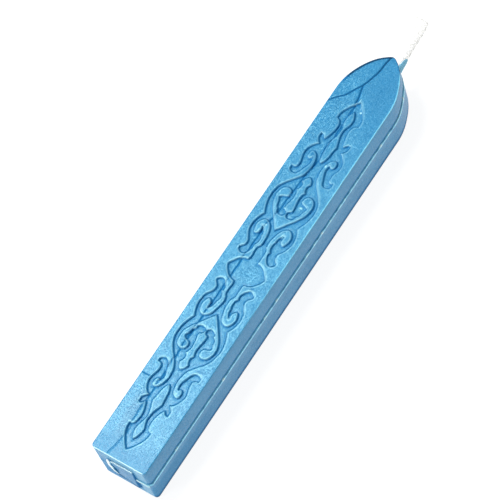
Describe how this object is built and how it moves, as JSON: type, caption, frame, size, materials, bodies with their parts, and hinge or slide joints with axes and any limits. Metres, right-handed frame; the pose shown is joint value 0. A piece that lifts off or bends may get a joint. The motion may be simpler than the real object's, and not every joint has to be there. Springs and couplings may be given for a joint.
{
  "type": "sealing wax stick",
  "caption": "Bar of pearly blue sealing wax with a pointed arch end, a scroll ornament sunk into its face and a cotton wick standing out of the point, lit and dripped to seal letters.",
  "frame": {"origin": "middle of the plain back face that the stick lies on", "axes": "+Y along the stick from the butt to the wick, +Z out of the ornamented face, +X to the right when looking along +Y with the face up"},
  "size_m": [0.0118, 0.1015, 0.0112],
  "materials": {
    "pearl_blue_wax": "pearlescent satin, cast",
    "cotton_wick": "waxed braided cotton"
  },
  "bodies": {
    "root": {"wax_body": "pearl_blue_wax", "wick": "cotton_wick"}
  },
  "joints": []
}
